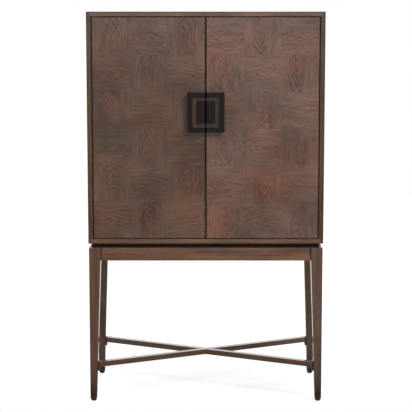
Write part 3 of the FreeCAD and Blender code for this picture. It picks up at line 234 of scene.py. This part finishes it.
def crown_cut_door_veneer(side, low, high, turned_first, way):
    """Crown-cut oak veneer, sliced and laid in squares whose grain turns from each to the next.

    The eye sees a checkerboard of arches that point up or down and of arches that lie on their side,
    and a thin darker line of painted shade along the door's upright edges, beside the gaps.
    """
    columns, rows = 3, 6
    wide, tall = (high.x - low.x) / columns, (high.z - low.z) / rows
    shallow, steep = -0.36, -0.54          # how fast the arches climb
    lying = 0.6                            # how much of their climb and strength a turned square keeps
    coolest, warmest = -0.09, -0.01        # shift of a whole square's tone
    heart_warmth = 0.14
    lay = DOOR_LAY[side]
    material, put = new_material(f"crown_cut_oak_squares_{side}")
    from_corner = put("VectorMath", {0: put("TexCoord", out="Object"), 1: low}, operation="SUBTRACT")
    steps = put("VectorMath", {0: from_corner, 1: (wide, 1, tall)}, operation="DIVIDE")
    number = put("VectorMath", {0: steps}, operation="FLOOR")
    within = put("VectorMath", {0: steps}, operation="FRACTION")
    within = put("VectorMath", {0: within, 1: (0.5, 0.5, 0.5)}, operation="SUBTRACT")
    within = put("VectorMath", {0: within, 1: (wide, 0, tall)}, operation="MULTIPLY")
    column = put("SeparateXYZ", {0: number}, "X")
    row = put("SeparateXYZ", {0: number}, "Z")
    count = put("Math", {0: column, 1: row}, operation="ADD")
    count = put("Math", {0: count, 1: turned_first}, operation="ADD")
    turned = put("Math", {0: count, 1: 2.0}, operation="MODULO")
    angle = put("Math", {0: turned, 1: -math.pi / 2}, operation="MULTIPLY")
    grain = put("VectorRotate", {"Vector": within, "Angle": angle}, rotation_type="Y_AXIS")
    grain = put("VectorMath", {0: grain, 1: (1, 1, way)}, operation="MULTIPLY")
    chance = put("TexWhiteNoise", {"Vector": number, "W": lay}, "Color", noise_dimensions="4D")
    apart = put("VectorMath", {0: chance, "Scale": 3.0}, operation="SCALE")
    spread = put("VectorMath", {0: grain, 1: apart}, operation="ADD")
    flatter = put("MapRange", {"Value": turned, "To Min": 1.0, "To Max": lying})
    rise = put("SeparateXYZ", {0: chance}, "Z")
    rise = put("MapRange", {"Value": rise, "To Min": shallow, "To Max": steep})
    rise = put("Math", {0: rise, 1: flatter}, operation="MULTIPLY")
    figure, near = crown_figure(put, grain, chance, VENEER_RING, rise)
    figure = put("Math", {0: figure, 1: flatter}, operation="MULTIPLY")
    shift = put("SeparateXYZ", {0: chance}, "Y")
    shift = put("MapRange", {"Value": shift, "To Min": coolest, "To Max": warmest})
    shift = put("Math", {0: near, 1: heart_warmth, 2: shift}, operation="MULTIPLY_ADD")
    # Painted shade: the upright edges are darkened so that the gaps beside them look deeper
    rim = put("SeparateXYZ", {0: border(put, low, high, PAINTED_EDGE_WIDTH)}, "X")
    darkening = put("MapRange", {"Value": rim, "From Max": 0.8, "To Min": 1.0, "To Max": PAINTED_EDGE_DARKNESS})
    patches = put("VectorMath", {0: put("TexCoord", out="Object"), 1: (0, lay, 0)}, operation="ADD")
    patches = put("VectorMath", {0: patches, "Scale": 1 / DOOR_PATCH}, operation="SCALE")
    stained_oak(put, spread, patches, figure, DOOR_TONES[side], DOOR_FIGURE[side], SATIN,
                shift, darkening, UNEVEN)
    return material


def turned_grain(put, along):
    """Coordinates whose Z runs with the grain."""
    turn = Vector(along).rotation_difference(Vector(UP)).to_euler()
    place = put("TexCoord", out="Object")
    return put("VectorRotate", {"Vector": place, "Rotation": turn}, rotation_type="EULER_XYZ")


def board_patches(put, grain):
    """Coordinates counted in patches of stain that follow the grain."""
    return scaled(put, grain, BOARD_PATCH, BOARD_PATCH_LENGTH)


def board_oak(put, grain, tones, depth, gloss, **finish):
    """Oak sawn or sliced along the log, stained and lacquered: long parallel streaks and short dark pores."""
    patches = board_patches(put, grain)
    stained_oak(put, grain, patches, straight_figure(put, grain), tones, depth, gloss, **finish)


def straight_oak(name, along, tones, gloss):
    """Plain boards and sheets, the same all over: the eye sees quiet lines along each piece."""
    material, put = new_material(name)
    board_oak(put, turned_grain(put, along), tones, BOARD_FIGURE, gloss)
    return material


def stretcher_oak(name, along):
    """Sawn oak of a stretcher: its upper face, rubbed smooth by dusting, mirrors the white studio."""
    material, put = new_material(name)
    upward = put("SeparateXYZ", {0: put("TexCoord", out="Normal")}, "Z")
    rubbed = put("MapRange", {"Value": upward, "From Min": SLOPING, "From Max": SQUARE_ON})
    board_oak(put, turned_grain(put, along), BRACE_TONES, BOARD_FIGURE, GLOSSY, film=rubbed)
    return material


def apron_oak(name, along, apron):
    """Sawn oak of an apron: strong streaks, and painted shade darkening the groove at each end."""
    low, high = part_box(apron)
    leg_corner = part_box("front_left_leg")[1]
    middle = Vector(along).dot((low + high) / 2)
    groove_start = abs(Vector(along).dot(leg_corner) - middle) - GROOVE
    blend = 1 * MM
    material, put = new_material(name)
    grain = turned_grain(put, along)
    off_middle = put("Math", {0: put("SeparateXYZ", {0: grain}, "Z"), 1: middle}, operation="SUBTRACT")
    off_middle = put("Math", {0: off_middle}, operation="ABSOLUTE")
    # Painted shade: the ends of the apron are darkened where the groove against the leg lies in shade
    darkening = put("MapRange", {"Value": off_middle, "From Min": groove_start - blend, "From Max": groove_start,
                             "To Min": 1.0, "To Max": PAINTED_GROOVE_DARKNESS})
    board_oak(put, grain, BASE_TONES, APRON_FIGURE, SATIN, shade=darkening, uneven=UNEVEN)
    return material


def leg_oak(name, tones):
    """Sawn oak of a leg, darkened toward the floor by painted shade, so the foot is nearly black."""
    material, put = new_material(name)
    grain = turned_grain(put, UP)
    # Painted shade: the leg grows darker toward the floor
    height = put("MapRange", {"Value": put("SeparateXYZ", {0: grain}, "Z"), "From Max": PAINTED_FOOT_SHADE_HEIGHT})
    darkening = put("ValToRGB", {"Fac": height}, stops=PAINTED_FOOT_DARKNESS)
    board_oak(put, grain, tones, BOARD_FIGURE, GLOSSY, shade=darkening)
    return material


def case_oak(name, along, tones, low, high, painted_reveal_darkness, painted_light_slope=0.0):
    """Book-matched crown-cut sheets on the faces of the case, straight-grained lipping on front and rear.

    Dark glaze is left along the outer edges, and painted shade lies in the gaps where the doors sit, which
    draws soft dark lines round both. painted_reveal_darkness is what the painted shade leaves of the colour
    there, and painted_light_slope is how much warmer and lighter the stain is at the grain's low end than
    halfway along it,
    and how much darker at its high end: painted light and shade.
    """
    sheets = 3
    leaf = (high.y - low.y) / sheets
    lay, rise = (0.6, 0.3, 0.8), -0.1      # which sheets the case got, and how fast their arches climb
    outside = -40                          # keeps the glaze of the inner faces off the outer ones
    material, put = new_material(name)
    grain = turned_grain(put, along)
    along_grain = put("SeparateXYZ", {0: grain}, "Z")
    depth = put("Math", {0: put("SeparateXYZ", {0: grain}, "Y"), 1: low.y}, operation="SUBTRACT")
    across = put("Math", {0: depth, 1: leaf}, operation="PINGPONG")
    across = put("Math", {0: across, 1: leaf / 2}, operation="SUBTRACT")
    sheet = put("CombineXYZ", {"X": across, "Z": along_grain})
    crown = crown_figure(put, sheet, lay, SHEET_RING, rise)[0]
    facing = put("SeparateXYZ", {0: put("TexCoord", out="Normal")}, "Y")
    facing = put("Math", {0: facing}, operation="ABSOLUTE")
    edge = put("MapRange", {"Value": facing, "From Min": SLOPING, "From Max": SQUARE_ON})
    figure = put("MixRGB", {0: edge, 1: crown, 2: straight_figure(put, grain)})
    corner = border(put, low, high, CORNER_GLAZE)
    corner = put("VectorMath", {0: corner, 1: (1, 1, 1)}, "Value", operation="DOT_PRODUCT")
    corner = put("MapRange", {"Value": corner, "From Min": 1.0, "From Max": 1.6,
                              "To Min": 1.0, "To Max": CORNER_SHADE})
    # Painted shade: the inner faces are darkened where the doors sit, as the gaps there lie in shade
    seat = border(put, low, high, PAINTED_REVEAL_WIDTH)
    seat = put("VectorMath", {0: seat, 1: (outside, 1, outside)}, "Value", operation="DOT_PRODUCT")
    seat = put("Math", {0: seat, 1: edge}, operation="SUBTRACT")
    seat = put("MapRange", {"Value": seat, "From Max": 0.05, "To Min": 1.0, "To Max": painted_reveal_darkness})
    darkening = put("Math", {0: corner, 1: seat}, operation="MULTIPLY")
    # Painted light and shade: lighter and warmer toward the grain's low end, darker toward its high end
    low_end, high_end = Vector(along).dot(low), Vector(along).dot(high)
    shift = put("MapRange", {"Value": along_grain, "From Min": low_end, "From Max": high_end,
                             "To Min": painted_light_slope, "To Max": -painted_light_slope})
    patches = board_patches(put, grain)
    stained_oak(put, grain, patches, figure, tones, BOARD_FIGURE, SATIN, shift, darkening, UNEVEN)
    return material


# Metals and plastic

def metal(name, colour, roughness, grit):
    """A metal surface with a fine unevenness of a given size, which breaks up its reflections."""
    patchy = 0.08            # how much rougher and smoother its specks are
    material, put = new_material(name)
    speck = put("TexNoise", {"Vector": put("TexCoord", out="Object"), "Scale": 1 / grit, "Detail": 3.0})
    shade = put("ValToRGB", {"Fac": speck}, stops=[(0.3, 0.86), (0.7, 1.0)])
    tint = put("MixRGB", {0: 1.0, 1: linear(colour), 2: shade}, blend_type="MULTIPLY")
    rough = put("MapRange", {"Value": speck, "To Min": roughness + patchy, "To Max": roughness - patchy})
    bump = put("Bump", {"Height": speck, "Strength": 0.2, "Distance": 0.05 * MM})
    surface = put("BsdfPrincipled", {"Base Color": tint, "Roughness": rough, "Normal": bump, "Metallic": 1.0})
    put("OutputMaterial", {"Surface": surface})
    return material


def moulded_plastic(name, colour, roughness, grit):
    """Moulded plastic with a fine spark-eroded grain from its mould, so it shines only softly."""
    material, put = new_material(name)
    speck = put("TexNoise", {"Vector": put("TexCoord", out="Object"), "Scale": 1 / grit, "Detail": 2.0})
    shade = put("ValToRGB", {"Fac": speck}, stops=[(0.3, 0.85), (0.7, 1.0)])
    tint = put("MixRGB", {0: 1.0, 1: linear(colour), 2: shade}, blend_type="MULTIPLY")
    bump = put("Bump", {"Height": speck, "Strength": 0.3, "Distance": 0.08 * MM})
    surface = put("BsdfPrincipled", {"Base Color": tint, "Roughness": roughness, "Normal": bump, "IOR": 1.54})
    put("OutputMaterial", {"Surface": surface})
    return material


# Dressing of the pieces

FINE_EDGE, CRISP_EDGE, EASED_EDGE = 0.4 * MM, 0.5 * MM, 0.6 * MM
SOFT_EDGE, GLIDE_EDGE = 0.8 * MM, 1.6 * MM


def dress(names, material, edge=0.0):
    """Gives pieces their material and, where edge is set, eased edges of that width."""
    touching, sharp = 0.001 * MM, math.radians(35)
    for name in names:
        piece = nodes[name]
        piece.data.materials.clear()
        piece.data.materials.append(material)
        if edge:
            weld = piece.modifiers.new("joined_faces", "WELD")
            weld.merge_threshold = touching
            bevel = piece.modifiers.new("eased_edges", "BEVEL")
            bevel.width = edge
            bevel.segments = 2
            bevel.limit_method = "ANGLE"
            bevel.angle_limit = sharp
            bevel.harden_normals = True


def both(name):
    """A name for the left and for the right."""
    return [name.format("left"), name.format("right")]


def dress_doors():
    """Squares of veneer on the fronts, plain sheets behind them."""
    for side, turned_first, way in (("left", 1, -1), ("right", 0, 1)):
        low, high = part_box(f"{side}_door_veneer")
        dress([f"{side}_door_veneer"], crown_cut_door_veneer(side, low, high, turned_first, way))
        back = straight_oak(f"sliced_oak_door_back_{side}", UP, DOOR_TONES[side], MATT)
        dress([f"{side}_door_panel"], back, CRISP_EDGE)


def dress_case():
    """Top, bottom and sides of the case, each with its grain along its length."""
    low = Vector(map(min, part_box("case_bottom")[0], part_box("case_left_side")[0]))
    high = Vector(map(max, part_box("case_top")[1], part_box("case_right_side")[1]))
    top = case_oak("crown_cut_oak_case_top", WIDE, TOP_TONES, low, high, PAINTED_REVEAL_DARKNESS)
    bottom = case_oak("crown_cut_oak_case_bottom", WIDE, BOTTOM_TONES, low, high, NO_PAINTED_REVEAL)
    sides = case_oak("crown_cut_oak_case_sides", UP, STILE_TONES, low, high, PAINTED_REVEAL_DARKNESS, STILE_PAINTED_LIGHT)
    dress(["case_top"], top, EASED_EDGE)
    dress(["case_bottom"], bottom, EASED_EDGE)
    dress(both("case_{}_side"), sides, EASED_EDGE)


def dress_base():
    """Legs, aprons and stretchers, and the plinth between them and the case."""
    for leg, tones in LEG_TONES.items():
        dress([leg], leg_oak(f"solid_oak_{leg}", tones), EASED_EDGE)
    dress(["front_apron", "back_apron"], apron_oak("solid_oak_long_aprons", WIDE, "front_apron"), SOFT_EDGE)
    dress(both("{}_apron"), apron_oak("solid_oak_side_aprons", DEEP, "left_apron"), SOFT_EDGE)
    dress(["corner_blocks"], straight_oak("sawn_oak_corner_blocks", WIDE, BASE_TONES, MATT), SOFT_EDGE)
    for name, slope in (("rising_stretcher", 1), ("falling_stretcher", -1)):
        low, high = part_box(name)
        run = (high.x - low.x, slope * (high.y - low.y), 0)
        dress([name], stretcher_oak(f"solid_oak_{name}", run), EASED_EDGE)
    # Nearly black, as painted shade, so that the plinth looks like the shadow under the case
    plinth_wide = straight_oak("near_black_painted_shade_plinth_long", WIDE, PLINTH_TONES, GLOSSY)
    plinth_deep = straight_oak("near_black_painted_shade_plinth_short", DEEP, PLINTH_TONES, GLOSSY)
    dress(["plinth_front_rail", "plinth_back_rail"], plinth_wide, CRISP_EDGE)
    dress(both("plinth_{}_rail"), plinth_deep, CRISP_EDGE)


def dress_inside():
    """The wood inside the case, under a dull lacquer."""
    inside_wide = straight_oak("sliced_oak_shelves", WIDE, INSIDE_TONES, MATT)
    inside_up = straight_oak("sliced_oak_uprights", UP, INSIDE_TONES, MATT)
    inside_deep = straight_oak("sawn_oak_strips", DEEP, INSIDE_TONES, MATT)
    shelves = ["deck", "gallery_shelf", "fold_out_shelf", "bottle_rack_shelf", "shelf_stop_pegs"]
    dress(shelves, inside_wide, EASED_EDGE)
    dress(["back_panel", "centre_divider", "bottle_rack_uprights"], inside_up, EASED_EDGE)
    dress(both("{}_bearer") + ["stemware_spacers", "stemware_runners"], inside_deep, EASED_EDGE)


def dress_fittings():
    """Pulls, plates, hinges, screws, catch and glides, with their grit drawn coarse enough to show."""
    # Oxide on a casting: nearly black, with an even satin shine
    black = metal("black_oxide_cast_metal", "#3a3334", 0.42, 1.4 * MM)
    # The same on the stretchers' end plates, rubbed by shoes until brown shows through
    worn = metal("worn_black_oxide_cast_metal", "#614d42", 0.42, 1.4 * MM)
    # Rolled brass darkened with oil: brown, with dull gold highlights
    brass = metal("oil_darkened_rolled_brass", "#5a462f", 0.36, 2.2 * MM)
    # Zinc on steel: pale grey, with clear highlights
    zinc = metal("zinc_plated_steel", "#b4b6b8", 0.32, 2.0 * MM)
    # Phosphate on steel: dark grey, with hardly any shine
    dull = metal("phosphated_steel_dull", "#2a2725", 0.6, 1.2 * MM)
    # Plastic from an etched mould: black, with a soft shine
    plastic = moulded_plastic("moulded_abs_black", "#191514", 0.5, 0.9 * MM)
    dress(both("{}_pull_frame") + both("{}_pull_block"), black, FINE_EDGE)
    dress(["stretcher_brackets"], worn, FINE_EDGE)
    dress(["case_hinge_leaves", "hinge_washers", "shelf_pivot_bushes"] + both("{}_door_hinge_leaves"), brass)
    dress(["hinge_pins", "shelf_pivot_pins", "base_screws", "bearer_screws", "case_hinge_screws"]
          + both("{}_pull_screws") + both("{}_door_hinge_screws"), zinc)
    dress(["catch_magnets"] + both("{}_strike_plate"), dull)
    dress(["catch_housing"], plastic, CRISP_EDGE)
    dress(["foot_glides"], plastic, GLIDE_EDGE)


# Stage: pale floor, soft lamps and the camera

def any_of(put, kinds):
    """Whether a ray is of one of the kinds."""
    seen = put("LightPath", out=kinds[0])
    for kind in kinds[1:]:
        seen = put("Math", {0: seen, 1: put("LightPath", out=kind)}, operation="MAXIMUM")
    return seen


def make_floor():
    """White paper with a pale shadow; in reflections it is white behind the cabinet and dim beneath it."""
    white, dim = 0.7, 0.1
    dim_to, white_from = 0.3, 1.0          # how far back, in metres
    reach, front = 40, -0.32
    material, put = new_material("white_paper_floor")
    depth = put("SeparateXYZ", {0: put("TexCoord", out="Object")}, "Y")
    mirrored = put("MapRange", {"Value": depth, "From Min": dim_to, "From Max": white_from,
                                "To Min": dim, "To Max": white})
    mirrored = put("Math", {0: put("LightPath", out="Is Glossy Ray"), 1: mirrored}, operation="MULTIPLY")
    seen = any_of(put, ("Is Camera Ray", "Is Transmission Ray"))
    paper = put("BsdfDiffuse", {"Color": linear("#959595")})
    strength = put("Math", {0: seen, 1: white, 2: mirrored}, operation="MULTIPLY_ADD")
    lift = put("Emission", {"Strength": strength})
    put("OutputMaterial", {"Surface": put("AddShader", {0: paper, 1: lift})})
    corners = [(-reach, front, 0), (reach, front, 0), (reach, reach, 0), (-reach, reach, 0)]
    mesh = bpy.data.meshes.new("floor")
    mesh.from_pydata(corners, [], [(0, 1, 2, 3)])
    mesh.materials.append(material)
    floor = bpy.data.objects.new("floor", mesh)
    bpy.context.scene.collection.objects.link(floor)


def make_world():
    """A white studio: white to the eye, and in reflections white behind and dim in front of the cabinet."""
    white, ambient, dim = 1.0, 0.3, 0.1
    dim_to, white_from = -0.3, 0.2         # how far back a direction points
    world = bpy.data.worlds.new("white_studio")
    bpy.context.scene.world = world
    world.use_nodes = True
    world.node_tree.nodes.clear()
    put = functools.partial(add, world.node_tree)
    way = put("SeparateXYZ", {0: put("TexCoord", out="Generated")}, "Y")
    mirrored = put("MapRange", {"Value": way, "From Min": dim_to, "From Max": white_from,
                                "To Min": dim, "To Max": white})
    seen = any_of(put, ("Is Camera Ray", "Is Transmission Ray"))
    plain = put("MapRange", {"Value": seen, "To Min": ambient, "To Max": white})
    strength = put("MixRGB", {0: put("LightPath", out="Is Glossy Ray"), 1: plain, 2: mirrored})
    backdrop = put("Background", {"Color": linear("#ffffff"), "Strength": strength})
    put("OutputWorld", {"Surface": backdrop})


def hang_lamp(name, kind, place, aim, **settings):
    """Hangs a lamp at a place and aims it at a point."""
    lamp = bpy.data.lights.new(name, kind)
    for setting, value in settings.items():
        setattr(lamp, setting, value)
    holder = bpy.data.objects.new(name, lamp)
    holder.location = place
    holder.rotation_euler = (Vector(aim) - Vector(place)).to_track_quat("-Z", "Y").to_euler()
    bpy.context.scene.collection.objects.link(holder)
    return holder


def make_lamps():
    """Soft light from the front right and above, a pale wall in front, and fill from the left and behind."""
    middle = (0, 0, 1.0)
    hang_lamp("key_softbox", "AREA", (3.0, -3.6, 4.6), middle, size=1.8, energy=217)
    hang_lamp("front_wall", "AREA", (0, -9.0, 2.8), (0, 0, 2.8),
              shape="RECTANGLE", size=6.0, size_y=3.0, energy=85)
    hang_lamp("left_softbox", "AREA", (-4.5, 0.6, 2.2), middle, size=2.0, energy=90)
    hang_lamp("rear_softbox", "AREA", (0.8, 3.4, 4.2), middle, size=2.0, energy=110)
    bounce = hang_lamp("floor_bounce", "AREA", (0, -1.7, 0.05), (0, -0.25, 1.2),
                       shape="RECTANGLE", size=2.4, size_y=1.6, energy=5)
    bounce.visible_glossy = False       # paper in front gives soft light and no highlight
    hang_lamp("ceiling", "SUN", (0, -0.85, 4.0), (0, 0, 0), energy=2.2, angle=math.radians(50))


def make_camera():
    """The photograph's view: square on, near the height of the top, tilted slightly down."""
    focal_pixels, frame_pixels = 1392.6, 412
    aside, distance, height = 6.7 * MM, 5.952, 1.662
    tilt, turn = math.radians(7.62), math.radians(0.055)
    case_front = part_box("case_top")[0].y
    camera = bpy.data.cameras.new("camera")
    camera.sensor_width = 36
    camera.lens = camera.sensor_width * focal_pixels / frame_pixels
    camera.clip_end = 200
    holder = bpy.data.objects.new("camera", camera)
    holder.location = (aside, case_front - distance, height)
    holder.rotation_euler = (math.pi / 2 - tilt, 0, turn)
    bpy.context.scene.collection.objects.link(holder)
    bpy.context.scene.camera = holder


dress_doors()
dress_case()
dress_base()
dress_inside()
dress_fittings()
make_floor()
make_world()
make_lamps()
make_camera()
bpy.context.scene.view_settings.view_transform = "Standard"
